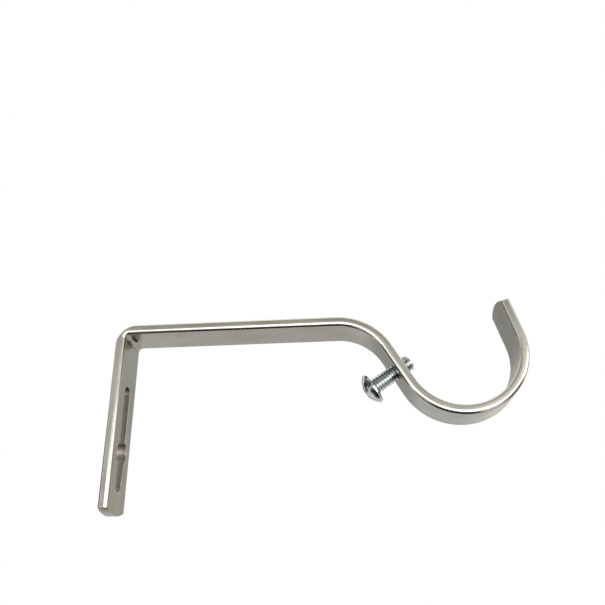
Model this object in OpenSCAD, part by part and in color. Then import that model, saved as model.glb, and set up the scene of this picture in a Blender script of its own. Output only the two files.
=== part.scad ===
// Curtain pole bracket: one flat steel strip folded into a wall leg, an arm, a drop and
// an open hook, with a pan head clamp screw through the drop that grips the pole.
// The wall lies in the plane x = 0, the arm runs out along +X, and the origin is the
// middle of the wall slot on the wall face.

/* [Strip] */
// Width of the flat strip
strip_w = 12.7; // [10:0.1:20]
// Thickness of the flat strip
strip_t = 2.4; // [1.8:0.1:4]
// Rounding along the two long corners on the strip's underside
edge_r = 0.95; // [0.2:0.05:1.2]
// Rounding along the two long corners on the strip's back, which lies against the wall
back_edge_r = 0.35; // [0.15:0.05:0.55]
// How far the middle of each strip end stands past its corners
end_crown = 1.45; // [0.5:0.05:3]

/* [Folds] */
// Leg against the wall, from the top of the arm to the crowned end
leg_len = 47.8; // [44:0.1:80]
// Inside radius of the fold between leg and arm
wall_bend_r = 1.1; // [0.8:0.1:4]
// Outside radius of that fold, wide enough for the strip to thin as it goes round
wall_back_r = 5.2; // [4.4:0.1:6]
// Straight stretch of the arm
arm_len = 54.4; // [40:0.1:120]
// Inside radius of the fold that turns the arm down
drop_r = 13.6; // [8:0.1:25]
// Angle by which the arm turns down
drop_angle = 60; // [50:1:70]
// Straight stretch of the drop, which carries the clamp screw
drop_len = 10.5; // [8:0.1:20]
// Inside radius of the hook
hook_r = 14; // [10:0.1:22]
// Angle by which the hook turns up round the pole
hook_angle = 166; // [150:1:180]
// Straight lip at the open end of the hook, to the crowned end
lip_len = 10.4; // [5:0.1:20]

/* [Wall slot] */
// Width of the slot for the wall screw
slot_w = 3.8; // [3:0.1:5]
// Distance from the top of the arm down to the top of the slot
slot_drop = 15.2; // [10:0.1:16]
// Distance from the bottom of the slot down to the crowned end of the leg
slot_foot = 5.8; // [4:0.1:12]
// Diameter of the round hole that passes the wall screw's head
keyhole_d = 6.4; // [6:0.1:9]
// Distance of the round hole's centre below the middle of the slot
keyhole_drop = 3.8; // [0:0.1:6]

/* [Corner gusset] */
// Radius of the groove pressed into the outside of the wall fold
gusset_r = 1.4; // [0.8:0.1:2.5]
// Depth of the groove at the middle of the fold
gusset_depth = 0.8; // [0.3:0.1:1]
// Height of the rib that the groove raises inside the fold
gusset_rise = 1.3; // [0.6:0.1:2]

/* [Clamp screw] */
// Outer diameter of the screw's thread
screw_d = 4.16; // [3:0.01:6]
// Running gap round the thread in its tapped hole, on the radius
screw_gap = 0.05; // [0.02:0.01:0.1]
// Length of the screw under its head
screw_len = 11.7; // [9:0.1:25]
// How far the screw's point stands out inside the hook
screw_out = 2.7; // [1:0.1:4]
// How far the screw leans up from square to the drop
screw_lean = 4.4; // [0:0.1:6]
// Diameter of the pan head
head_d = 8.1; // [6:0.1:12]
// Height of the pan head
head_h = 2.5; // [1.5:0.1:4]
// Height of the head's upright rim
rim_h = 0.6; // [0.3:0.1:1.2]
// Chamfer at the screw's point
point_chamfer = 0.5; // [0.2:0.1:1]
// Span of the cross recess from wing tip to wing tip
recess_span = 4.8; // [3:0.1:5.5]
// Width of each wing of the cross recess
recess_w = 0.9; // [0.6:0.1:1.4]
// Depth of the cross recess
recess_depth = 1.5; // [0.8:0.1:2]

/* [Hidden] */
$fn = 96;
// Overrun of every cut past the faces that it opens
cut_over = 1;
// Lead of a straight stretch into the folds beside it, so that they are one solid
seam_lead = 0.1;
// Swelling of the strip through a fold, which the straight stretches seat inside
fold_swell = 0.005;
// Angle between the leg and the arm
wall_bend_angle = 90;
// Shares of the strip's thickness by which the gusset's rib roots in the strip
rib_root_share = 0.25;
rib_bite_share = 0.25;

// Radii of the folds at the middle of the strip's thickness
wall_bend_mid_r = wall_bend_r + strip_t / 2;
drop_mid_r = drop_r + strip_t / 2;
hook_mid_r = hook_r + strip_t / 2;
// Length of the slot from end to end, which keeps its land at the foot of the leg
slot_len = leg_len - slot_drop - slot_foot;
// Straight stretch of the leg under the wall fold
leg_straight = leg_len - strip_t - wall_bend_r;
// Distance from the inside radius's centre out to the wall fold's back, half way round
wall_back_at = min(wall_bend_r + strip_t,
    wall_back_r - sqrt(2) * (wall_back_r - wall_bend_r - strip_t));
// Height of the arm's top face above the middle of the wall slot
arm_top = slot_drop + slot_len / 2;
// Height at which the leg's straight stretch ends and the wall fold starts
fold_start = arm_top - strip_t - wall_bend_r;
// Radius of the crown across each end of the strip
crown_r = (strip_w * strip_w / 4 + end_crown * end_crown) / (2 * end_crown);
// The screw's point and the underside of its head, from the middle of the drop's thickness
point_at = strip_t / 2 + screw_out;
head_at = point_at - screw_len;
// Radius of the dome over the head's rim
dome_h = head_h - rim_h;
dome_r = (head_d * head_d / 4 + dome_h * dome_h) / (2 * dome_h);

// Cross section of the strip: thickness along x, width along y, with rounded corners.
// The side is 1 where the underside lies towards +X, and -1 where it lies towards -X.
module strip_section(side, swell = 0) {
    translate([side * (back_edge_r - edge_r) / 2, 0])
        square([strip_t - edge_r - back_edge_r, strip_w + 2 * swell], center = true);
    rounded_flank(side, edge_r, swell);
    rounded_flank(-side, back_edge_r, swell);
}

// One flank of the section, towards +X or -X, from its face to the far side of its roundings
module rounded_flank(side, flank_r, swell) {
    translate([side * (strip_t / 2 - flank_r), 0])
        square([2 * (flank_r + swell), strip_w - 2 * flank_r], center = true);
    for (y_side = [-1, 1])
        translate([side * (strip_t / 2 - flank_r), y_side * (strip_w / 2 - flank_r)])
            circle(r = flank_r + swell);
}

// A straight stretch of strip from the origin along +Z, with a lead into the fold at each end
module straight(length, side = 1) {
    translate([0, 0, -seam_lead]) linear_extrude(height = length + 2 * seam_lead)
        strip_section(side);
}

// A fold that leaves the origin along +Z and turns towards +X
module fold(mid_r, angle, side = 1) {
    translate([mid_r, 0, 0]) rotate([90, 0, 180])
        rotate_extrude(angle = angle) translate([mid_r, 0]) strip_section(-side, fold_swell);
}

// What the wider outside radius takes off the back of the wall fold, with rounded corners
module wall_back_cut() {
    translate([wall_back_r + 2 * fold_swell, 0, arm_top - wall_back_r - 2 * fold_swell])
        rotate([90, 0, 180]) rotate_extrude(angle = wall_bend_angle) difference() {
            translate([wall_back_r - 2 * back_edge_r, -strip_w / 2 - cut_over])
                square([wall_back_r, strip_w + 2 * cut_over]);
            translate([wall_back_r - strip_t / 2, 0]) rounded_flank(1, back_edge_r, fold_swell);
            translate([wall_back_r - 3 * back_edge_r, -strip_w / 2 - fold_swell])
                square([2 * back_edge_r, strip_w + 2 * fold_swell]);
        }
}

// Places its children at the far end of a fold
module past_fold(mid_r, angle) {
    translate([mid_r * (1 - cos(angle)), 0, mid_r * sin(angle)]) rotate([0, angle, 0]) children();
}

// A straight stretch along +Z that finishes in a crowned end
module crowned_straight(length, side = 1) {
    difference() {
        straight(length, side);
        difference() {
            translate([-strip_t, -strip_w / 2 - cut_over / 2, length - 2 * end_crown])
                cube([2 * strip_t, strip_w + cut_over, 2 * end_crown + cut_over]);
            translate([-strip_t - cut_over, 0, length - crown_r]) rotate([0, 90, 0])
                cylinder(r = crown_r, h = 2 * strip_t + 2 * cut_over);
        }
    }
}

// Local frames along the strip: each heads along its own +Z, with the underside towards +X
module at_wall_fold() {
    translate([strip_t / 2, 0, fold_start]) children();
}

module at_arm() {
    at_wall_fold() past_fold(wall_bend_mid_r, wall_bend_angle) children();
}

module at_drop_fold() {
    at_arm() translate([0, 0, arm_len]) children();
}

module at_drop() {
    at_drop_fold() past_fold(drop_mid_r, drop_angle) children();
}

// From here on the strip turns the other way, so the underside is towards -X
module at_hook() {
    at_drop() translate([0, 0, drop_len]) rotate([0, 0, 180]) children();
}

module at_lip() {
    at_hook() past_fold(hook_mid_r, hook_angle) children();
}

// Frame of the clamp screw: +Z is the way in, from the middle of the drop's thickness
module at_screw() {
    at_drop() translate([0, 0, drop_len / 2]) rotate([0, -screw_lean - 90, 0]) children();
}

// The strip as folded, before it is pierced and pressed
module folded_strip() {
    at_wall_fold() rotate([180, 0, 0]) crowned_straight(leg_straight);
    at_wall_fold() fold(wall_bend_mid_r, wall_bend_angle);
    at_arm() straight(arm_len);
    at_drop_fold() fold(drop_mid_r, drop_angle);
    at_drop() straight(drop_len);
    at_hook() fold(hook_mid_r, hook_angle, -1);
    at_lip() crowned_straight(lip_len, -1);
}

// Slot and round hole through the leg for the wall screw
module wall_keyhole() {
    translate([-cut_over, 0, 0]) rotate([0, 90, 0]) {
        for (side = [-1, 1])
            translate([side * (slot_len - slot_w) / 2, 0, 0])
                cylinder(d = slot_w, h = strip_t + 2 * cut_over);
        translate([slot_w / 2 - slot_len / 2, -slot_w / 2, 0])
            cube([slot_len - slot_w, slot_w, strip_t + 2 * cut_over]);
        translate([keyhole_drop, 0, 0]) cylinder(d = keyhole_d, h = strip_t + 2 * cut_over);
    }
}

// Tapped hole through the drop for the clamp screw
module tapped_bore() {
    at_screw() cylinder(d = screw_d + 2 * screw_gap, h = 2 * strip_t + 2 * cut_over, center = true);
}

// Frame in the middle of the wall fold: +Z along the strip, the outside towards -X
module at_gusset() {
    at_wall_fold() translate([wall_bend_mid_r, 0, 0]) rotate([0, wall_bend_angle / 2, 0]) children();
}

// Groove pressed into the outside of the wall fold
module gusset_groove() {
    at_gusset() translate([-(wall_back_at - gusset_depth + gusset_r), 0, 0])
        cylinder(r = gusset_r, h = 4 * gusset_r + 2 * strip_t, center = true);
}

// Rib that the groove raises, from the leg across the inside of the fold to the arm
module gusset_rib() {
    rib_r = gusset_r + gusset_depth / 4;
    rib_top = wall_bend_r - gusset_rise;
    reach = sqrt(2) * wall_bend_r - rib_top + rib_bite_share * strip_t;
    at_gusset() intersection() {
        translate([-(rib_top + rib_r), 0, 0]) cylinder(r = rib_r, h = 2 * reach, center = true);
        translate([-(wall_bend_r + rib_root_share * strip_t), -2 * rib_r, -reach])
            cube([rib_r + gusset_rise + rib_root_share * strip_t, 4 * rib_r, 2 * reach]);
    }
}

module bracket_strip() {
    color([0.70, 0.68, 0.65]) {
        difference() {
            union() {
                folded_strip();
                gusset_rib();
            }
            wall_back_cut();
            gusset_groove();
            wall_keyhole();
            tapped_bore();
        }
    }
}

// Shank with a chamfered point, from the head's underside along +Z
module screw_shank() {
    rotate_extrude() polygon([
        [0, 0],
        [screw_d / 2, 0],
        [screw_d / 2, screw_len - point_chamfer],
        [screw_d / 2 - point_chamfer, screw_len],
        [0, screw_len]
    ]);
}

// Pan head below z = 0, domed over an upright rim, with a cross recess
module screw_head() {
    difference() {
        intersection() {
            translate([0, 0, -head_h]) cylinder(d = head_d, h = head_h);
            translate([0, 0, dome_r - head_h]) sphere(r = dome_r);
        }
        for (turn = [0, 90])
            rotate([0, 0, turn]) translate([-recess_span / 2, -recess_w / 2, -head_h - cut_over])
                cube([recess_span, recess_w, recess_depth + cut_over]);
    }
}

module clamp_screw() {
    color([0.76, 0.79, 0.82]) at_screw() translate([0, 0, head_at]) {
        screw_shank();
        screw_head();
    }
}

bracket_strip();
clamp_screw();
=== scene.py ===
"""Curtain pole bracket: a folded steel strip and its clamp screw, in a plain studio."""

import logging
import math
from collections.abc import Callable, Iterator
from contextlib import contextmanager
from dataclasses import dataclass, field
from enum import Enum

import bmesh
import bpy
from mathutils import Matrix, Vector


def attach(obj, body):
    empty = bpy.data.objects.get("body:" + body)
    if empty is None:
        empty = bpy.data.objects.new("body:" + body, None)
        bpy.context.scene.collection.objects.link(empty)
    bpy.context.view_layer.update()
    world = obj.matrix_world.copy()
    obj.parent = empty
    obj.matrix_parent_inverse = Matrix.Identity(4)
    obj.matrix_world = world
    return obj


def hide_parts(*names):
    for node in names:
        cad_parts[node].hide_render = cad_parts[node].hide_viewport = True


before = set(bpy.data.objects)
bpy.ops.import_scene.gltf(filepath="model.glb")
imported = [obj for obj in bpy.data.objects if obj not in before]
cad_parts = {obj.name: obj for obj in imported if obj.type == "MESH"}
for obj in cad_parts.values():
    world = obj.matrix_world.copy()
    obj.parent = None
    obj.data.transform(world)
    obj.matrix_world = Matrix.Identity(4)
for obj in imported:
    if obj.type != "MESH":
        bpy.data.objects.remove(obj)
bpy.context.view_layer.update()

MM = 0.001
HAIR = 1e-6
ACROSS = Vector((0.0, 1.0, 0.0))
log = logging.getLogger("pole_bracket")

Colour = tuple[float, float, float]
Picker = Callable[[Vector, Vector], bool]


class Pick(Enum):
    """What an edit takes hold of."""

    POINTS = "VERT"
    EDGES = "EDGE"
    FACES = "FACE"


class Cut(Enum):
    """How one solid works on another."""

    REMOVE = "DIFFERENCE"
    JOIN = "UNION"
    KEEP_SHARED = "INTERSECT"


class Body(Enum):
    """The moving bodies of the bracket."""

    BRACKET = "bracket"
    SCREW = "screw"


# ---------------------------------------------------------------- bench


@dataclass
class Workpiece:
    """One mesh on the bench, shaped in edit mode by the place and direction of its parts."""

    obj: bpy.types.Object

    @classmethod
    def start(cls, name: str, add: Callable[..., object], **shape: object) -> "Workpiece":
        """Adds a primitive with nothing else selected.

        Args:
            name: Name of the new object.
            add: The operator that adds the primitive.
            **shape: Its size and place.

        Returns:
            The workpiece that holds the new object.
        """
        bpy.ops.object.select_all(action="DESELECT")
        add(**shape)
        piece = bpy.context.object
        piece.name = name
        piece.data.name = name
        return cls(piece)

    @contextmanager
    def edit(self) -> Iterator[None]:
        """Holds the workpiece in edit mode."""
        bpy.ops.object.select_all(action="DESELECT")
        self.obj.select_set(True)
        bpy.context.view_layer.objects.active = self.obj
        bpy.ops.object.mode_set(mode="EDIT")
        yield
        bpy.ops.object.mode_set(mode="OBJECT")

    def pick(self, kind: Pick, test: Picker) -> int:
        """Selects the points, edges or faces that pass a test, and nothing else.

        Args:
            kind: What is selected.
            test: Takes an element's middle and its normal; for an edge the second is the
                edge's own vector from end to end.

        Returns:
            How many were selected.
        """
        bpy.ops.mesh.select_all(action="DESELECT")
        bpy.context.tool_settings.mesh_select_mode = [kind is each for each in Pick]
        mesh = bmesh.from_edit_mesh(self.obj.data)
        mesh.select_mode = {kind.value}
        mesh.normal_update()
        if kind is Pick.POINTS:
            chosen = [v for v in mesh.verts if test(v.co, v.normal)]
        elif kind is Pick.EDGES:
            chosen = [
                e
                for e in mesh.edges
                if test((e.verts[0].co + e.verts[1].co) / 2, e.verts[1].co - e.verts[0].co)
            ]
        else:
            chosen = [f for f in mesh.faces if test(f.calc_center_median(), f.normal)]
        for element in chosen:
            element.select_set(True)
        mesh.select_flush_mode()
        bmesh.update_edit_mesh(self.obj.data)
        return len(chosen)

    def pick_rims(self, test: Picker, sharper_than: float = math.radians(35)) -> int:
        """Selects the sharp edges whose middle and own vector pass a test.

        Args:
            test: Takes the edge's middle and its vector from end to end.
            sharper_than: Least angle between the faces beside the edge.

        Returns:
            How many were selected.
        """
        mesh = bmesh.from_edit_mesh(self.obj.data)
        mesh.normal_update()
        sharp = {
            tuple(round(c / HAIR) for c in (e.verts[0].co + e.verts[1].co) / 2)
            for e in mesh.edges
            if len(e.link_faces) == 2 and e.calc_face_angle(0.0) > sharper_than
        }
        return self.pick(
            Pick.EDGES,
            lambda middle, run: tuple(round(c / HAIR) for c in middle) in sharp
            and test(middle, run),
        )

    def extrude(self, move: Vector, steps: int = 1) -> None:
        """Draws the selection out along a vector, in equal steps."""
        for _ in range(steps):
            bpy.ops.mesh.extrude_region_move(
                TRANSFORM_OT_translate={"value": tuple(move / steps)}
            )

    def turn(self, centre: Vector, axis: Vector, angle: float, steps: int) -> None:
        """Draws the selection round an axis, as a bending brake does.

        Args:
            centre: A point on the axis.
            axis: Direction of the axis.
            angle: How far to turn, in radians.
            steps: Number of rings on the way.
        """
        bpy.ops.mesh.spin(
            steps=steps, dupli=False, angle=angle, use_auto_merge=False,
            center=tuple(centre), axis=tuple(axis),
        )

    def score(self, region: Picker, places: list[float], point: Vector, normal: Vector) -> None:
        """Cuts straight lines across part of the surface without parting it.

        Args:
            region: Picks the faces that are cut.
            places: Distances of the lines from the point, along the normal.
            point: Where the distances start.
            normal: Direction that the lines are square to.
        """
        for place in places:
            self.pick(Pick.FACES, region)
            bpy.ops.mesh.bisect(
                plane_co=tuple(point + normal * place), plane_no=tuple(normal),
                threshold=HAIR,
            )

    def trim(self, point: Vector, outward: Vector) -> None:
        """Saws off what lies past a plane and closes the cut.

        Args:
            point: A point on the plane.
            outward: Normal of the plane, towards the side that is cut off.
        """
        bpy.ops.mesh.select_all(action="SELECT")
        bpy.ops.mesh.bisect(
            plane_co=tuple(point), plane_no=tuple(outward), use_fill=True,
            clear_outer=True, threshold=HAIR,
        )

    def soften(self, width: float, segments: int = 2, clamp: bool = True) -> None:
        """Bevels the selected edges, no wider than fits where clamped."""
        bpy.ops.mesh.bevel(
            offset=width, offset_type="OFFSET", segments=segments, profile=0.5,
            affect="EDGES", clamp_overlap=clamp,
        )

    def tidy(self) -> None:
        """Merges doubled points, drops loose ends and turns every face outwards."""
        bpy.ops.mesh.select_all(action="SELECT")
        bpy.ops.mesh.remove_doubles(threshold=HAIR)
        bpy.ops.mesh.delete_loose()
        bpy.ops.mesh.select_all(action="SELECT")
        bpy.ops.mesh.normals_make_consistent(inside=False)

    def combine(self, tool: "Workpiece", how: Cut) -> None:
        """Cuts, joins or trims the workpiece with another solid, which is used up.

        Args:
            tool: The other solid.
            how: What is done with it.
        """
        bpy.ops.object.select_all(action="DESELECT")
        self.obj.select_set(True)
        bpy.context.view_layer.objects.active = self.obj
        step = self.obj.modifiers.new("cut", "BOOLEAN")
        step.operation = how.value
        step.solver = "EXACT"
        step.object = tool.obj
        bpy.ops.object.modifier_apply(modifier=step.name)
        bpy.data.objects.remove(tool.obj)

    def place(self, matrix: Matrix) -> None:
        """Puts the workpiece in its place, and leaves its object at the origin."""
        self.obj.data.transform(matrix)
        self.obj.data.update()

    def smooth(self, angle: float) -> None:
        """Shades the surface smooth between edges sharper than an angle, flats kept flat."""
        bpy.ops.object.select_all(action="DESELECT")
        self.obj.select_set(True)
        bpy.context.view_layer.objects.active = self.obj
        bpy.ops.object.shade_smooth_by_angle(angle=angle)
        step = self.obj.modifiers.new("flats", "WEIGHTED_NORMAL")
        step.mode = "FACE_AREA"
        step.keep_sharp = True
        bpy.ops.object.modifier_apply(modifier=step.name)


def trace(name: str, outline: list[Vector]) -> Workpiece:
    """Draws a line of edges through points, from one corner of a small plane.

    Args:
        name: Name of the new object.
        outline: The points, in order.

    Returns:
        The workpiece that holds the line.
    """
    line = Workpiece.start(
        name, bpy.ops.mesh.primitive_plane_add, size=MM, location=tuple(outline[0])
    )
    bpy.ops.object.transform_apply()
    with line.edit():
        line.pick(Pick.POINTS, lambda place, _: True)
        bpy.ops.mesh.merge(type="CENTER")
        for here, there in zip(outline, outline[1:]):
            line.extrude(there - here)
    return line


# ---------------------------------------------------------------- finishes


class Shading:
    """Builds one material's nodes, left to right."""

    def __init__(self, name: str) -> None:
        """Starts a material with an empty tree.

        Args:
            name: Name of the material.
        """
        self.material = bpy.data.materials.new(name)
        self.material.use_nodes = True
        self.tree = self.material.node_tree
        self.tree.nodes.clear()

    def add(self, kind: str, **values: object) -> bpy.types.Node:
        """Adds a node and sets its sockets or settings by name.

        Args:
            kind: Node type without its ShaderNode prefix.
            **values: Values by socket or setting; a socket as value is linked.

        Returns:
            The new node.
        """
        node = self.tree.nodes.new("ShaderNode" + kind)
        for key, value in values.items():
            label = key.replace("_", " ")
            socket = next(
                (s for s in node.inputs if s.name.lower() == label.lower() and s.enabled), None
            )
            if socket is None:
                setattr(node, key, value)
            elif isinstance(value, bpy.types.NodeSocket):
                self.tree.links.new(value, socket)
            else:
                socket.default_value = value
        return node

    def math(self, operation: str, *terms: object) -> bpy.types.NodeSocket:
        """Adds a Math node on numbers or sockets and returns its result."""
        node = self.tree.nodes.new("ShaderNodeMath")
        node.operation = operation
        for socket, term in zip(node.inputs, terms):
            if isinstance(term, bpy.types.NodeSocket):
                self.tree.links.new(term, socket)
            else:
                socket.default_value = term
        return node.outputs[0]

    def blend(self, share: object, low: object, high: object) -> bpy.types.NodeSocket:
        """Mixes two colours by a share and returns the result."""
        node = self.tree.nodes.new("ShaderNodeMix")
        node.data_type = "RGBA"
        for index, term in ((0, share), (6, low), (7, high)):
            socket = node.inputs[index]
            if isinstance(term, bpy.types.NodeSocket):
                self.tree.links.new(term, socket)
            elif index:
                socket.default_value = (*term, 1.0)
            else:
                socket.default_value = term
        return node.outputs[2]

    def spread(
        self, value: bpy.types.NodeSocket, low: float, high: float, out_low: float, out_high: float
    ) -> bpy.types.NodeSocket:
        """Maps a value smoothly from one range to another and returns the result."""
        node = self.tree.nodes.new("ShaderNodeMapRange")
        node.interpolation_type = "SMOOTHSTEP"
        self.tree.links.new(value, node.inputs[0])
        for index, number in enumerate((low, high, out_low, out_high), start=1):
            node.inputs[index].default_value = number
        return node.outputs[0]

    def grain(
        self, place: bpy.types.NodeSocket, sizes: Colour, detail: float = 2.0
    ) -> bpy.types.NodeSocket:
        """Adds noise with its own size along each axis.

        Args:
            place: Coordinates, in metres.
            sizes: Size of the pattern along each axis, in metres.
            detail: Number of finer layers.

        Returns:
            The noise value, from 0 to 1.
        """
        mapped = self.add("Mapping", Vector=place, Scale=tuple(1.0 / size for size in sizes))
        noise = self.add("TexNoise", Vector=mapped.outputs[0], Scale=1.0, Detail=detail)
        return noise.outputs[0]

    def finish(self, shader: bpy.types.Node) -> bpy.types.Material:
        """Connects the shader to the output and returns the material."""
        output = self.tree.nodes.new("ShaderNodeOutputMaterial")
        self.tree.links.new(shader.outputs[0], output.inputs["Surface"])
        return self.material


@dataclass(frozen=True)
class SatinNickel:
    """Satin nickel plate on rolled strip: fine lines along the strip, the rounded edges lighter as
    a painted highlight, the slot walls darker as painted shade.
    """

    face: Colour = (0.336, 0.318, 0.287)
    warm: Colour = (0.316, 0.291, 0.255)
    # Lighter colour of the rounded edges, a painted highlight; the grain lines also lean towards
    # this tone.
    edge: Colour = (0.500, 0.488, 0.440)
    # Dark colour of the slot walls: painted shade inside the hole.
    cut: Colour = (0.240, 0.210, 0.185)
    roughness: float = 0.25
    cut_dulling: float = 0.15
    line_size: Colour = (9.0 * MM, 0.16 * MM, 0.16 * MM)
    cloud_size: Colour = (9.0 * MM, 5.0 * MM, 5.0 * MM)
    fleck_size: Colour = (0.5 * MM, 0.35 * MM, 0.35 * MM)
    # Bounds across the strip of the painted edge highlight.
    highlight_from: float = 5.55 * MM
    highlight_to: float = 6.15 * MM
    line_height: float = 0.0009 * MM
    slot_middle: float = 19.2 * MM
    slot_half: float = 14.5 * MM
    slot_reach: float = 3.6 * MM
    wall_from: float = 1.02 * MM
    wall_to: float = 1.18 * MM

    def slot_shade(self, m: Shading, place: bpy.types.NodeSocket) -> bpy.types.NodeSocket:
        """Finds the walls of the slot, where shade is painted.

        Args:
            m: The material's nodes.
            place: Place on the unfolded strip.

        Returns:
            A share: 1 between the two faces of the strip near the slot, 0 elsewhere.
        """
        x, y, z = m.add("SeparateXYZ", Vector=place).outputs
        deep = m.spread(m.math("ABSOLUTE", z), self.wall_from, self.wall_to, 1.0, 0.0)
        near = m.math("LESS_THAN", m.math("ABSOLUTE", y), self.slot_reach)
        along = m.math("COMPARE", x, self.slot_middle, self.slot_half)
        return m.math("MULTIPLY", deep, m.math("MULTIPLY", near, along))

    def material(self) -> bpy.types.Material:
        """Builds the plate's nodes on the unfolded strip's own coordinates."""
        m = Shading("satin_nickel")
        unfolded = m.add("Attribute", attribute_name=UNFOLDED).outputs["Vector"]
        lines = m.grain(unfolded, self.line_size, 3.0)
        clouds = m.grain(unfolded, self.cloud_size, 2.0)
        flecks = m.grain(unfolded, self.fleck_size, 2.0)
        y = m.add("SeparateXYZ", Vector=unfolded).outputs["Y"]
        # Share of the painted highlight on the rounded edges; it also lowers their roughness.
        edge_highlight = m.spread(m.math("ABSOLUTE", y), self.highlight_from, self.highlight_to, 0.0, 1.0)
        face = m.blend(m.spread(clouds, 0.38, 0.66, 0.0, 1.0), self.face, self.warm)
        face = m.blend(m.spread(lines, 0.35, 0.75, 0.0, 0.22), face, self.edge)
        # Painted highlight: the rounded edges are lightened to the edge colour.
        colour = m.blend(edge_highlight, face, self.edge)
        # Painted shade: the slot walls are darkened to the cut colour and dulled.
        slot_shade = self.slot_shade(m, unfolded)
        colour = m.blend(slot_shade, colour, self.cut)
        rough = m.math("ADD", self.roughness, m.spread(lines, 0.3, 0.7, -0.03, 0.05))
        rough = m.math("ADD", rough, m.math("MULTIPLY", slot_shade, self.cut_dulling))
        rough = m.math("ADD", rough, m.spread(clouds, 0.35, 0.65, -0.02, 0.03))
        rough = m.math("SUBTRACT", rough, m.math("MULTIPLY", edge_highlight, 0.05))
        height = m.math("ADD", lines, m.math("MULTIPLY", flecks, 0.6))
        bump = m.add("Bump", Height=height, Distance=self.line_height, Strength=0.6)
        shader = m.add(
            "BsdfPrincipled", Base_Color=colour, Metallic=1.0, Roughness=rough,
            Normal=bump.outputs[0],
        )
        return m.finish(shader)


@dataclass(frozen=True)
class BrightZinc:
    """Bright zinc plate with a cool cast, dulled a little in random patches."""

    bright: Colour = (0.53, 0.565, 0.555)
    dull: Colour = (0.42, 0.46, 0.46)
    roughness: float = 0.16
    patch_size: float = 1.6 * MM
    fleck_size: float = 0.22 * MM
    fleck_height: float = 0.002 * MM

    def material(self) -> bpy.types.Material:
        """Builds the plate's nodes on Object coordinates."""
        m = Shading("bright_zinc")
        place = m.add("TexCoord").outputs["Object"]
        patches = m.grain(place, (self.patch_size,) * 3, 2.0)
        flecks = m.grain(place, (self.fleck_size,) * 3, 3.0)
        colour = m.blend(m.spread(patches, 0.35, 0.65, 0.0, 1.0), self.bright, self.dull)
        rough = m.math("ADD", self.roughness, m.spread(patches, 0.3, 0.7, -0.03, 0.06))
        bump = m.add("Bump", Height=flecks, Distance=self.fleck_height, Strength=0.5)
        shader = m.add(
            "BsdfPrincipled", Base_Color=colour, Metallic=1.0, Roughness=rough,
            Normal=bump.outputs[0],
        )
        return m.finish(shader)


UNFOLDED = "unfolded"


# ---------------------------------------------------------------- strip


@dataclass(frozen=True)
class Station:
    """A place on the middle of the strip's thickness."""

    point: Vector
    heading: Vector
    under: Vector

    def ahead(self, distance: float) -> "Station":
        """The station straight ahead at a distance."""
        return Station(self.point + self.heading * distance, self.heading, self.under)

    def round_bend(self, radius: float, angle: float) -> "Station":
        """The station past a bend.

        Args:
            radius: Radius at the middle of the thickness, negative to bend away from the
                underside.
            angle: Angle of the bend, in radians.

        Returns:
            The station at the bend's far end.
        """
        side = math.copysign(1.0, radius)
        c, s = math.cos(angle), math.sin(angle) * side
        under = self.under * c - self.heading * s
        heading = self.heading * c + self.under * s
        centre = self.point + self.under * radius
        return Station(centre - under * radius, heading, under)


@dataclass(frozen=True)
class Stretch:
    """One straight or bent stretch of the strip."""

    start: Station
    length: float
    radius: float = 0.0
    rings: int = 1

    @property
    def angle(self) -> float:
        """Angle of the bend, in radians."""
        return self.length / abs(self.radius) if self.radius else 0.0

    @property
    def centre(self) -> Vector:
        """Centre of the bend."""
        return self.start.point + self.start.under * self.radius

    def station(self, distance: float) -> Station:
        """The station at a distance along from the start."""
        if self.radius:
            return self.start.round_bend(self.radius, distance / abs(self.radius))
        return self.start.ahead(distance)

    @property
    def end(self) -> Station:
        """Station at the far end."""
        return self.station(self.length)

    def locate(self, point: Vector) -> tuple[float, float]:
        """Finds where a point lies along and through the stretch.

        Args:
            point: The point; its place across the strip has no effect.

        Returns:
            The distance along from the start and the depth towards the underside.
        """
        if not self.radius:
            offset = point - self.start.point
            return offset.dot(self.start.heading), offset.dot(self.start.under)
        side = math.copysign(1.0, self.radius)
        spoke = point - self.centre
        forward, back = spoke.dot(self.start.heading), -side * spoke.dot(self.start.under)
        away = math.hypot(forward, back)
        return math.atan2(forward, back) * abs(self.radius), side * (abs(self.radius) - away)


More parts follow.
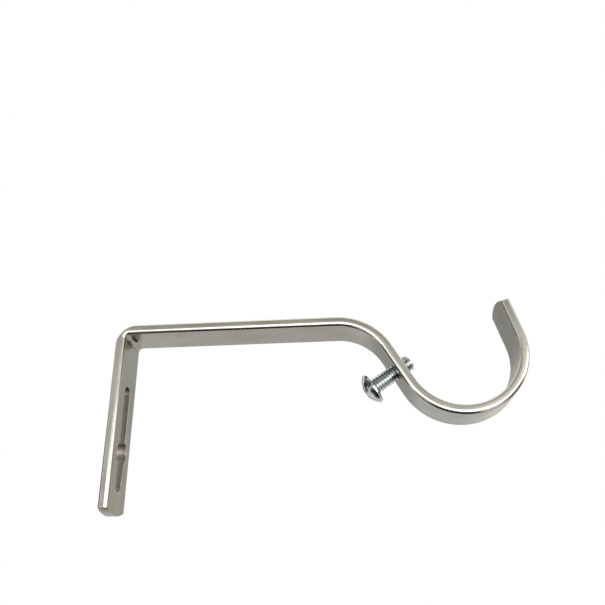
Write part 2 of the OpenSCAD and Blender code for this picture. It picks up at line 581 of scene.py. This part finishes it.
@dataclass
class BracketStrip:
    """The flat strip, folded into wall leg, arm, drop and hook, and pierced."""

    width: float = 12.7 * MM
    thickness: float = 2.4 * MM
    edge_radius: float = 0.95 * MM
    back_edge_radius: float = 0.6 * MM
    crown: float = 1.45 * MM
    leg_length: float = 47.8 * MM
    wall_bend: float = 1.1 * MM
    wall_back: float = 5.2 * MM
    arm_length: float = 54.4 * MM
    drop_bend: float = 13.6 * MM
    drop_angle: float = math.radians(60)
    drop_length: float = 10.5 * MM
    hook_bend: float = 14.0 * MM
    hook_angle: float = math.radians(166)
    lip_length: float = 10.4 * MM
    slot_width: float = 3.8 * MM
    slot_length: float = 26.8 * MM
    slot_drop: float = 15.2 * MM
    keyhole_diameter: float = 6.4 * MM
    keyhole_drop: float = 3.8 * MM
    gusset_radius: float = 1.4 * MM
    gusset_depth: float = 0.8 * MM
    gusset_rise: float = 1.0 * MM
    bore_diameter: float = 4.26 * MM
    rim_width: float = 0.14 * MM
    slot_rim: float = 0.18 * MM
    end_rows: float = 0.4 * MM
    gusset_reach: float = 2.2 * MM
    gusset_rows: int = 35
    gusset_blend: float = 0.9 * MM
    finish: SatinNickel = field(default_factory=SatinNickel)

    def __post_init__(self) -> None:
        """Lays out the stretches of the strip from the crowned end of the leg to the lip."""
        half = self.thickness / 2
        top = self.slot_drop + self.slot_length / 2
        straight = self.leg_length - self.thickness - self.wall_bend
        run = self.wall_back - self.wall_bend - self.thickness
        at = Station(
            Vector((half, 0.0, top - self.leg_length)), Vector((0, 0, 1)), Vector((1, 0, 0))
        )
        self.stretches: dict[str, Stretch] = {}
        for name, length, radius, rings in (
            ("leg", straight - run, 0.0, 1),
            ("leg_run", run, 0.0, 10),
            ("wall_fold", math.pi / 2 * (self.wall_bend + half), self.wall_bend + half, 48),
            ("arm_run", run, 0.0, 10),
            ("arm", self.arm_length - run, 0.0, 1),
            ("drop_fold", self.drop_angle * (self.drop_bend + half), self.drop_bend + half, 40),
            ("drop", self.drop_length, 0.0, 1),
            ("hook", self.hook_angle * (self.hook_bend + half), -self.hook_bend - half, 110),
            ("lip", self.lip_length, 0.0, 1),
        ):
            stretch = Stretch(at, length, radius, rings)
            self.stretches[name] = stretch
            at = stretch.end

    def build(self, bore: Matrix) -> bpy.types.Object:
        """Makes the strip and dresses it.

        Args:
            bore: Frame of the tapped hole, with its axis along the frame's own Z.

        Returns:
            The finished piece.
        """
        strip = self.fold()
        self.thin_wall_bend(strip)
        self.crown_end(strip, self.stretches["leg"].start, -1)
        self.crown_end(strip, self.stretches["lip"].end, 1)
        self.pierce(strip, bore)
        self.press_gusset(strip)
        with strip.edit():
            strip.tidy()
        strip.smooth(math.radians(38))
        self.mark_unfolded(strip.obj)
        strip.obj.data.materials.clear()
        strip.obj.data.materials.append(self.finish.material())
        return strip.obj

    def fold(self) -> Workpiece:
        """Draws the rounded cross section out along the arm and round the bends."""
        first = self.stretches["leg"].start
        strip = Workpiece.start(
            "bracket_strip_dressed", bpy.ops.mesh.primitive_plane_add, size=1.0,
            location=tuple(first.point),
        )
        with strip.edit():
            bpy.ops.transform.resize(
                value=(self.thickness, self.width, 1.0), center_override=tuple(first.point)
            )
        bpy.ops.object.transform_apply(location=True, rotation=False, scale=False)
        with strip.edit():
            for radius, near_back, steps in (
                (self.edge_radius, False, 12), (self.back_edge_radius, True, 6)
            ):
                strip.pick(
                    Pick.POINTS,
                    lambda place, _: (place.x < first.point.x) == near_back
                    and abs(abs(place.y) - self.width / 2) < HAIR,
                )
                bpy.ops.mesh.bevel(
                    offset=radius, segments=steps, profile=0.5, affect="VERTICES"
                )
            strip.pick(Pick.FACES, lambda place, _: True)
            for stretch in self.stretches.values():
                if stretch.radius:
                    axis = -ACROSS * math.copysign(1.0, stretch.radius)
                    strip.turn(stretch.centre, axis, stretch.angle, stretch.rings)
                else:
                    strip.extrude(stretch.start.heading * stretch.length, stretch.rings)
            strip.tidy()
        return strip

    def thin_wall_bend(self, strip: Workpiece) -> None:
        """Draws the back of the wall bend in to its own wider radius, ring by ring.

        Args:
            strip: The folded strip.
        """
        half = self.thickness / 2
        middle = self.stretches["wall_fold"].start
        centre = self.stretches["leg_run"].start.point + middle.under * (self.wall_back - half)
        with strip.edit():
            for name in ("leg_run", "wall_fold", "arm_run"):
                stretch = self.stretches[name]
                for ring in range(1, stretch.rings + 1):
                    at = stretch.station(stretch.length * ring / stretch.rings)
                    out = at.point - centre
                    inward = out.dot(at.under)
                    reach = inward + math.sqrt(
                        inward**2 - out.length_squared + self.wall_back**2
                    )
                    if half - reach < HAIR / 4:
                        continue
                    strip.pick(
                        Pick.POINTS,
                        lambda place, _: abs((place - at.point).dot(at.heading)) < HAIR
                        and -half - HAIR < (place - at.point).dot(at.under) < 0,
                    )
                    bpy.ops.transform.translate(value=tuple(at.under * (half - reach)))

    def crown_end(self, strip: Workpiece, end: Station, outward: int) -> None:
        """Rounds one end of the strip across its width, and softens its rim.

        Args:
            strip: The folded strip.
            end: Station at the end.
            outward: 1 where the end looks along the heading, -1 where it looks back.
        """
        away = end.heading * outward
        crown_radius = (self.width**2 / 4 + self.crown**2) / (2 * self.crown)

        def on_end(place: Vector, normal: Vector) -> bool:
            return abs((place - end.point).dot(away)) < HAIR and normal.dot(away) > 0.9

        count = round((self.width / 2 - self.end_rows / 2) / self.end_rows)
        rows = [(i + 0.5) * self.end_rows * s for s in (-1, 1) for i in range(count)]
        with strip.edit():
            strip.score(on_end, sorted(rows), Vector(end.point), ACROSS)
            strip.pick(
                Pick.POINTS,
                lambda place, _: abs((place - end.point).dot(away)) < HAIR,
            )
            mesh = bmesh.from_edit_mesh(strip.obj.data)
            heights = sorted({round(abs(v.co.y), 7) for v in mesh.verts if v.select})
            sags = [crown_radius - math.sqrt(crown_radius**2 - y * y) for y in heights]
            for y, sag in zip(heights, sags):
                if sag < HAIR:
                    continue
                strip.pick(
                    Pick.POINTS,
                    lambda place, _: abs((place - end.point).dot(away)) < HAIR
                    and abs(abs(place.y) - y) < HAIR / 4,
                )
                bpy.ops.transform.translate(value=tuple(-away * sag))
            strip.pick_rims(
                lambda middle, _: -self.crown - HAIR
                < (middle - end.point).dot(away)
                < HAIR
                and abs(self.crown_sag(middle.y) + (middle - end.point).dot(away)) < 0.02 * MM
            )
            strip.soften(self.rim_width)

    def crown_sag(self, y: float) -> float:
        """How far a crowned end lies back from its tip, at a place across the strip."""
        radius = (self.width**2 / 4 + self.crown**2) / (2 * self.crown)
        return radius - math.sqrt(radius**2 - y * y)

    def pierce(self, strip: Workpiece, bore: Matrix) -> None:
        """Cuts the wall slot with its round hole and the tapped hole, and softens the rims.

        Args:
            strip: The folded strip.
            bore: Frame of the tapped hole.
        """
        reach = 3 * self.thickness
        middle = self.thickness / 2
        across_wall = (0.0, math.pi / 2, 0.0)
        end_travel = (self.slot_length - self.slot_width) / 2
        slot = Workpiece.start(
            "slot_cutter", bpy.ops.mesh.primitive_cylinder_add, vertices=48,
            radius=self.slot_width / 2, depth=reach, location=(middle, 0.0, 0.0),
            rotation=across_wall,
        )
        bpy.ops.object.transform_apply()
        with slot.edit():
            for side in (-1, 1):
                slot.pick(Pick.POINTS, lambda place, _: place.z * side > HAIR)
                bpy.ops.transform.translate(value=(0.0, 0.0, side * end_travel))
        keyhole = Workpiece.start(
            "keyhole_cutter", bpy.ops.mesh.primitive_cylinder_add, vertices=96,
            radius=self.keyhole_diameter / 2, depth=reach,
            location=(middle, 0.0, -self.keyhole_drop), rotation=across_wall,
        )
        bpy.ops.object.transform_apply()
        tap = Workpiece.start(
            "bore_cutter", bpy.ops.mesh.primitive_cylinder_add, vertices=96,
            radius=self.bore_diameter / 2, depth=reach,
        )
        tap.place(bore)
        for cutter in (slot, keyhole, tap):
            strip.combine(cutter, Cut.REMOVE)
        slot_half = self.slot_length / 2
        bore_middle = bore.to_translation()
        bore_axis = bore.to_3x3() @ Vector((0, 0, 1))
        with strip.edit():
            for face, width, segments in (
                (0.0, self.rim_width, 2), (self.thickness, self.slot_rim, 3)
            ):
                strip.pick_rims(
                    lambda place, _: abs(place.x - face) < HAIR
                    and abs(place.y) < self.keyhole_diameter / 2 + HAIR
                    and abs(place.z) < slot_half + HAIR
                )
                strip.soften(width, segments, clamp=False)
            strip.pick_rims(
                lambda place, _: abs(
                    (place - bore_middle).cross(bore_axis).length - self.bore_diameter / 2
                )
                < 0.02 * MM
            )
            strip.soften(self.rim_width)

    def press_gusset(self, strip: Workpiece) -> None:
        """Presses the groove into the wall bend from outside, which raises the rib inside."""
        bend = self.stretches["wall_fold"]
        centre = bend.centre
        diagonal = (bend.start.heading - bend.start.under).normalized()
        run = self.stretches["leg_run"].length
        outside = self.wall_back - math.sqrt(2.0) * run
        rib_radius = self.gusset_radius + self.gusset_depth / 4

        def at_bend(place: Vector, _: Vector) -> bool:
            return place.z > centre.z - run - HAIR and place.x < centre.x + run + HAIR

        with strip.edit():
            half_rows = self.gusset_rows // 2
            rows = [
                self.gusset_reach * i / half_rows for i in range(-half_rows, half_rows + 1)
            ]
            strip.score(at_bend, rows, Vector((0, 0, 0)), ACROSS)
            mesh = bmesh.from_edit_mesh(strip.obj.data)
            for point in mesh.verts:
                if not at_bend(point.co, point.normal) or abs(point.co.y) > self.gusset_reach:
                    continue
                if point.co.z < centre.z:
                    depth = point.co.x - self.thickness / 2
                elif point.co.x > centre.x:
                    depth = centre.z + self.wall_bend + self.thickness / 2 - point.co.z
                else:
                    depth = bend.locate(point.co)[1]
                reach = (point.co - centre).dot(diagonal)
                if depth > 0:
                    form = self.pressed(
                        self.wall_bend - self.gusset_rise, rib_radius, point.co.y
                    )
                else:
                    form = self.pressed(
                        outside - self.gusset_depth, self.gusset_radius, point.co.y
                    )
                point.co += diagonal * (self.soft_min(reach, form) - reach)
            bmesh.update_edit_mesh(strip.obj.data)

    def pressed(self, bottom: float, radius: float, y: float) -> float:
        """Distance of the press tool's surface from the bend's centre, across the strip.

        Args:
            bottom: Distance at the middle of the tool.
            radius: Radius of the tool's nose.
            y: Place across the strip.

        Returns:
            The distance along the bend's diagonal.
        """
        away = abs(y)
        turn = radius * 0.92
        if away < turn:
            return bottom + radius - math.sqrt(radius**2 - away**2)
        slope = turn / math.sqrt(radius**2 - turn**2)
        return bottom + radius - math.sqrt(radius**2 - turn**2) + (away - turn) * slope

    def soft_min(self, a: float, b: float) -> float:
        """The lesser of two distances, rounded off where they cross."""
        overlap = max(self.gusset_blend - abs(a - b), 0.0) / self.gusset_blend
        return min(a, b) - overlap * overlap * self.gusset_blend / 4

    def mark_unfolded(self, piece: bpy.types.Object) -> None:
        """Stores each point's place on the flat strip, for the finish to follow.

        Args:
            piece: The finished strip.
        """
        marks = piece.data.attributes.new(UNFOLDED, "FLOAT_VECTOR", "POINT")
        for vertex, mark in zip(piece.data.vertices, marks.data):
            flat = Vector((vertex.co.x, 0.0, vertex.co.z))
            best, travelled = None, 0.0
            for stretch in self.stretches.values():
                along, depth = stretch.locate(flat)
                miss = max(-along, along - stretch.length, 0.0)
                miss += max(abs(depth) - self.thickness / 2, 0.0)
                if best is None or miss < best[0] - HAIR:
                    best = (miss, travelled + along, depth)
                travelled += stretch.length
            mark.vector = (best[1], vertex.co.y, best[2])


# ---------------------------------------------------------------- screw


@dataclass
class ClampScrew:
    """The pan head machine screw through the drop, with its thread cut."""

    place: Station
    diameter: float = 4.16 * MM
    pitch: float = 0.794 * MM
    thread_depth: float = 0.46 * MM
    length: float = 11.7 * MM
    point_out: float = 2.7 * MM
    strip_thickness: float = 2.4 * MM
    lean: float = math.radians(4.4)
    head_diameter: float = 8.1 * MM
    head_height: float = 2.5 * MM
    rim_height: float = 0.6 * MM
    rim_round: float = 0.22 * MM
    point_chamfer: float = 0.5 * MM
    recess_span: float = 4.8 * MM
    recess_width: float = 0.9 * MM
    recess_depth: float = 1.5 * MM
    finish: BrightZinc = field(default_factory=BrightZinc)

    @property
    def frame(self) -> Matrix:
        """Frame of the screw: its own Z is the way in, from the middle of the strip."""
        inward = -self.place.under
        inward = Matrix.Rotation(-self.lean, 3, ACROSS) @ inward
        side = ACROSS.cross(inward)
        turn = Matrix((side, ACROSS, inward)).transposed().to_4x4()
        return Matrix.Translation(self.place.point) @ turn

    def build(self) -> bpy.types.Object:
        """Makes the screw, puts it in its place and dresses it."""
        head_at = self.strip_thickness / 2 + self.point_out - self.length
        screw = self.thread(head_at)
        screw.combine(self.head(head_at), Cut.JOIN)
        with screw.edit():
            screw.tidy()
        screw.place(self.frame)
        screw.smooth(math.radians(40))
        screw.obj.data.materials.clear()
        screw.obj.data.materials.append(self.finish.material())
        return screw.obj

    def thread(self, head_at: float) -> Workpiece:
        """Winds the thread, trims it to length and chamfers its point.

        Args:
            head_at: Where the head's underside lies on the screw's axis.

        Returns:
            The threaded shank.
        """
        outer, inner = self.diameter / 2, self.diameter / 2 - self.thread_depth
        turns = math.ceil(self.length / self.pitch) + 3
        start = head_at - 1.5 * self.pitch
        profile = [
            Vector((radius, 0.0, start + share * self.pitch))
            for radius, share in (
                (inner, 0.0), (inner, 0.12), (outer - 0.03 * MM, 0.44), (outer, 0.48),
                (outer, 0.56), (outer - 0.03 * MM, 0.60), (inner, 0.92), (inner, 1.0),
            )
        ]
        shank = trace("clamp_screw_dressed", profile)
        wind = shank.obj.modifiers.new("wind", "SCREW")
        wind.axis = "Z"
        wind.angle = math.tau
        wind.screw_offset = self.pitch
        wind.iterations = turns
        wind.steps = wind.render_steps = 48
        wind.use_merge_vertices = True
        wind.merge_threshold = HAIR
        wind.use_normal_calculate = True
        bpy.ops.object.modifier_apply(modifier=wind.name)
        end = head_at + self.length
        with shank.edit():
            shank.tidy()
            shank.trim(Vector((0, 0, end)), Vector((0, 0, 1)))
            shank.trim(Vector((0, 0, head_at - 0.3 * MM)), Vector((0, 0, -1)))
            shank.tidy()
        stock_length = self.length + 2 * MM
        stock = Workpiece.start(
            "shank_stock", bpy.ops.mesh.primitive_cylinder_add, vertices=96,
            radius=self.diameter / 2 + 0.01 * MM, depth=stock_length,
            location=(0, 0, end - stock_length / 2),
        )
        bpy.ops.object.transform_apply()
        with stock.edit():
            stock.pick_rims(lambda middle, _: middle.z > end - HAIR)
            stock.soften(self.point_chamfer, 1)
        shank.combine(stock, Cut.KEEP_SHARED)
        return shank

    def head(self, head_at: float) -> Workpiece:
        """Turns the domed pan head and cuts its cross recess.

        Args:
            head_at: Where the head's underside lies on the screw's axis.

        Returns:
            The head.
        """
        rim = self.head_diameter / 2
        dome = self.head_height - self.rim_height
        radius = (rim**2 + dome**2) / (2 * dome)
        top = head_at - self.head_height
        outline = [Vector((0.0, 0.0, head_at)), Vector((rim - self.rim_round, 0.0, head_at))]
        outline += [
            Vector((
                rim - self.rim_round * (1 - math.sin(a)), 0.0,
                head_at - self.rim_round * (1 - math.cos(a)),
            ))
            for a in (math.radians(d) for d in (30, 60, 90))
        ]
        half = math.asin(rim / radius)
        outline += [
            Vector((
                radius * math.sin(half * i / 18), 0.0,
                top + radius * (1 - math.cos(half * i / 18)),
            ))
            for i in range(18, 0, -1)
        ]
        outline.append(Vector((0.0, 0.0, top)))
        head = trace("clamp_screw_head", outline)
        with head.edit():
            bpy.ops.mesh.select_all(action="SELECT")
            head.turn(Vector((0, 0, 0)), Vector((0, 0, 1)), math.tau, 96)
            head.tidy()
        for quarter in (0.0, math.pi / 2):
            wing = Workpiece.start(
                "recess_cutter", bpy.ops.mesh.primitive_cube_add, size=1.0,
            )
            with wing.edit():
                deep = self.recess_depth + 1.0 * MM
                bpy.ops.transform.resize(
                    value=(self.recess_span, self.recess_width, deep),
                    center_override=(0, 0, 0),
                )
                wing.pick(Pick.FACES, lambda _, normal: normal.z > 0.9)
                bpy.ops.transform.resize(value=(0.42, 0.72, 1.0), center_override=(0, 0, 0))
            bpy.ops.object.select_all(action="DESELECT")
            wing.place(
                Matrix.Translation((0, 0, top - 1.0 * MM + deep / 2))
                @ Matrix.Rotation(quarter, 4, "Z")
            )
            head.combine(wing, Cut.REMOVE)
        with head.edit():
            head.pick_rims(
                lambda middle, _: middle.z < top + self.recess_depth / 2
                and math.hypot(middle.x, middle.y) < self.recess_span * 0.55,
                math.radians(45),
            )
            head.soften(0.06 * MM)
        return head


# ---------------------------------------------------------------- studio


MIDDLE = Vector((0.05, 0.0, 0.006))


def facing(bearing: float, rise: float, distance: float) -> Matrix:
    """Frame beside the bracket whose -Z looks at the bracket's middle, with its X level.

    Args:
        bearing: Degrees round the bracket, from straight in front towards the right.
        rise: Degrees above the level of the bracket's middle.
        distance: How far from the bracket's middle the frame stands.

    Returns:
        The frame.
    """
    turn, lift = math.radians(bearing), math.radians(rise)
    back = Vector((
        math.sin(turn) * math.cos(lift), -math.cos(turn) * math.cos(lift), math.sin(lift),
    ))
    up = Vector((0, 1, 0)) if abs(back.z) > 0.9 else Vector((0, 0, 1))
    level = up.cross(back).normalized()
    frame_turn = Matrix((level, back.cross(level), back)).transposed()
    return Matrix.Translation(MIDDLE + back * distance) @ frame_turn.to_4x4()


@dataclass(frozen=True)
class Softbox:
    """A flat lamp that looks at the middle of the bracket."""

    name: str
    bearing: float
    rise: float
    distance: float
    width: float
    height: float
    brightness: float
    colour: Colour = (1.0, 1.0, 1.0)

    def build(self) -> bpy.types.Object:
        """Adds the lamp, hidden from the camera itself."""
        lamp = bpy.data.lights.new(self.name, "AREA")
        lamp.shape = "RECTANGLE"
        lamp.size, lamp.size_y = self.width, self.height
        lamp.energy = self.brightness * math.pi * self.width * self.height
        lamp.color = self.colour
        holder = bpy.data.objects.new(self.name, lamp)
        bpy.context.scene.collection.objects.link(holder)
        holder.matrix_world = facing(self.bearing, self.rise, self.distance)
        holder.visible_camera = False
        return holder


@dataclass(frozen=True)
class Card:
    """A soft edged studio card that shows only as a tone in the metal."""

    name: str
    bearing: float
    rise: float
    distance: float
    width: float
    height: float
    tone: Colour
    softness: float = 0.25

    def build(self) -> bpy.types.Object:
        """Adds the card, turned to the bracket and out of the camera's sight."""
        card = Workpiece.start(self.name, bpy.ops.mesh.primitive_plane_add, size=1.0)
        card.place(
            facing(self.bearing, self.rise, self.distance)
            @ Matrix.Diagonal((self.width, self.height, 1.0, 1.0))
        )
        m = Shading(self.name)
        spot = m.add("SeparateXYZ", Vector=m.add("TexCoord").outputs["UV"])
        sides = [
            m.spread(
                m.math("MINIMUM", spot.outputs[axis], m.math("SUBTRACT", 1.0, spot.outputs[axis])),
                0.0, self.softness, 0.0, 1.0,
            )
            for axis in ("X", "Y")
        ]
        mix = m.tree.nodes.new("ShaderNodeMixShader")
        m.tree.links.new(m.math("MULTIPLY", *sides), mix.inputs[0])
        clear = m.add("BsdfTransparent")
        glow = m.add("Emission", Color=(*self.tone, 1.0), Strength=1.0)
        m.tree.links.new(clear.outputs[0], mix.inputs[1])
        m.tree.links.new(glow.outputs[0], mix.inputs[2])
        card.obj.data.materials.append(m.finish(mix))
        card.obj.visible_camera = False
        return card.obj


@dataclass
class Studio:
    """Pale floor, white surroundings, soft lamps and cards."""

    floor_height: float = -0.42
    floor_size: float = 12.0
    floor_colour: Colour = (0.86, 0.86, 0.86)
    fill: float = 0.25
    lamps: tuple[Softbox, ...] = (
        Softbox("front_softbox", 14, -17, 0.62, 0.69, 0.58, 2.8),
        Softbox("top_softbox", 0, 86, 0.72, 0.58, 0.52, 0.61),
        Softbox("right_softbox", 60, 5, 0.6, 0.62, 0.21, 2.1),
        Softbox("left_softbox", -38, -12, 0.62, 0.5, 0.22, 2.4),
    )
    cards: tuple[Card, ...] = (
        Card("under_card", 0, -87, 0.24, 0.34, 0.4, (0.02, 0.02, 0.02), 0.12),
        Card("left_low_card", -97, -6, 0.42, 0.72, 0.27, (0.04, 0.04, 0.03), 0.08),
        Card("left_card", -98, 20, 0.52, 0.5, 0.34, (0.3, 0.28, 0.24), 0.2),
        Card("back_left_low_card", -125, -58, 0.4, 0.46, 0.26, (0.6, 0.56, 0.5), 0.3),
        Card("back_low_card", 176, -24, 0.56, 0.76, 0.28, (0.77, 0.78, 0.75), 0.25),
        Card("back_card", -172, 10, 0.62, 0.84, 0.45, (0.49, 0.5, 0.48), 0.25),
        Card("right_low_card", 84, -22, 0.5, 0.6, 0.27, (0.3, 0.17, 0.1), 0.12),
        Card("back_right_low_card", 128, -3, 0.5, 0.34, 0.36, (0.34, 0.2, 0.12), 0.2),
        Card("warm_card", 158, 2, 0.48, 0.17, 0.17, (1.1, 1.04, 0.91), 0.4),
        Card("front_top_card", -2, 38, 0.5, 0.86, 0.36, (0.44, 0.42, 0.38), 0.14),
        Card("front_left_card", -50, 18, 0.55, 0.3, 0.26, (0.8, 0.78, 0.72), 0.4),
        Card("upper_left_card", -110, 42, 0.66, 1.11, 0.53, (1.1, 1.1, 1.1), 0.3),
        Card("back_right_card", 138, 36, 0.7, 0.94, 0.4, (1.1, 1.1, 1.1), 0.3),
        Card("top_card", 180, 72, 0.7, 1.67, 0.81, (1.1, 1.1, 1.1), 0.25),
        Card("front_band_card", -27, 6, 0.49, 0.3, 0.22, (0.44, 0.41, 0.37), 0.45),
        Card("front_gleam_card", 0, 12, 0.56, 0.2, 0.11, (2.0, 1.95, 1.86), 0.45),
        Card("hook_band_card", 11, 12, 0.47, 0.14, 0.13, (0.32, 0.3, 0.27), 0.25),
        Card("head_gleam_card", -108, -16, 0.3, 0.05, 0.06, (2.0, 2.05, 2.05), 0.3),
        Card("hook_gleam_card", 21, 17, 0.5, 0.1, 0.08, (2.0, 1.95, 1.86), 0.4),
        Card("left_deep_card", -92, -46, 0.38, 0.26, 0.22, (0.05, 0.05, 0.04), 0.12),
    )

    def build(self) -> None:
        """Builds the surroundings, the floor, the lamps and the cards."""
        self.surround()
        self.floor()
        for fitting in (*self.lamps, *self.cards):
            fitting.build()
            log.info("studio: %s", fitting.name)

    @staticmethod
    def seen(tree: bpy.types.NodeTree) -> bpy.types.NodeSocket:
        """Adds the test for rays that show the background: camera, glossy and through glass."""
        path = tree.nodes.new("ShaderNodeLightPath")
        result = path.outputs["Is Camera Ray"]
        for ray in ("Is Glossy Ray", "Is Transmission Ray"):
            larger = tree.nodes.new("ShaderNodeMath")
            larger.operation = "MAXIMUM"
            tree.links.new(result, larger.inputs[0])
            tree.links.new(path.outputs[ray], larger.inputs[1])
            result = larger.outputs[0]
        return result

    def surround(self) -> None:
        """Surrounds the bracket with white, and with a softer level for its light."""
        world = bpy.data.worlds.new("studio_surround")
        world.use_nodes = True
        tree = world.node_tree
        tree.nodes.clear()
        shown, light = (tree.nodes.new("ShaderNodeBackground") for _ in range(2))
        shown.inputs["Strength"].default_value = 1.0
        shown.inputs["Color"].default_value = (1.0, 1.0, 1.0, 1.0)
        light.inputs["Strength"].default_value = self.fill
        light.inputs["Color"].default_value = (1.0, 1.0, 1.0, 1.0)
        mix = tree.nodes.new("ShaderNodeMixShader")
        tree.links.new(self.seen(tree), mix.inputs[0])
        tree.links.new(light.outputs[0], mix.inputs[1])
        tree.links.new(shown.outputs[0], mix.inputs[2])
        output = tree.nodes.new("ShaderNodeOutputWorld")
        tree.links.new(mix.outputs[0], output.inputs["Surface"])
        bpy.context.scene.world = world

    def floor(self) -> None:
        """Lays the pale floor."""
        floor = Workpiece.start(
            "floor", bpy.ops.mesh.primitive_plane_add, size=self.floor_size,
            location=(0.0, 0.0, self.floor_height),
        )
        m = Shading("pale_floor")
        paint = m.add("BsdfDiffuse", Color=(*self.floor_colour, 1.0))
        white = m.add("Emission", Color=(1.0, 1.0, 1.0, 1.0), Strength=1.0)
        mix = m.tree.nodes.new("ShaderNodeMixShader")
        m.tree.links.new(self.seen(m.tree), mix.inputs[0])
        m.tree.links.new(paint.outputs[0], mix.inputs[1])
        m.tree.links.new(white.outputs[0], mix.inputs[2])
        floor.obj.data.materials.append(m.finish(mix))


@dataclass(frozen=True)
class PhotoCamera:
    """The camera at the photograph's place, angle and lens."""

    place: Colour = (62.934 * MM, -163.945 * MM, -36.048 * MM)
    turn: Colour = (113.5614, 0.4765, 5.1134)
    lens: float = 39.1825
    sensor: float = 36.0

    def build(self) -> bpy.types.Object:
        """Adds the camera and makes it the scene's own."""
        data = bpy.data.cameras.new("photo_camera")
        data.sensor_width = self.sensor
        data.lens = self.lens
        data.clip_start = 0.005
        data.clip_end = 100.0
        camera = bpy.data.objects.new("photo_camera", data)
        bpy.context.scene.collection.objects.link(camera)
        camera.location = self.place
        camera.rotation_euler = tuple(math.radians(degrees) for degrees in self.turn)
        bpy.context.scene.camera = camera
        return camera


# ---------------------------------------------------------------- assembly


def ride_for(piece: bpy.types.Object, body: Body, node: str) -> None:
    """Hands a finished piece to its body in place of a CAD node.

    Args:
        piece: The finished piece.
        body: The body that it moves with.
        node: The CAD node that it stands for.
    """
    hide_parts(node)
    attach(piece, body.value)
    log.info("%s: %d faces, rides on %s", piece.name, len(piece.data.polygons), body.value)


def main() -> None:
    """Builds the bracket, its screw and the studio."""
    logging.basicConfig(level=logging.INFO, format="%(name)s %(message)s")
    bpy.context.scene.view_settings.view_transform = "Standard"
    PhotoCamera().build()
    strip = BracketStrip()
    drop = strip.stretches["drop"]
    screw = ClampScrew(place=drop.start.ahead(drop.length / 2))
    ride_for(strip.build(screw.frame), Body.BRACKET, "bracket_strip")
    ride_for(screw.build(), Body.SCREW, "clamp_screw")
    Studio().build()


if __name__ == "__main__":
    main()
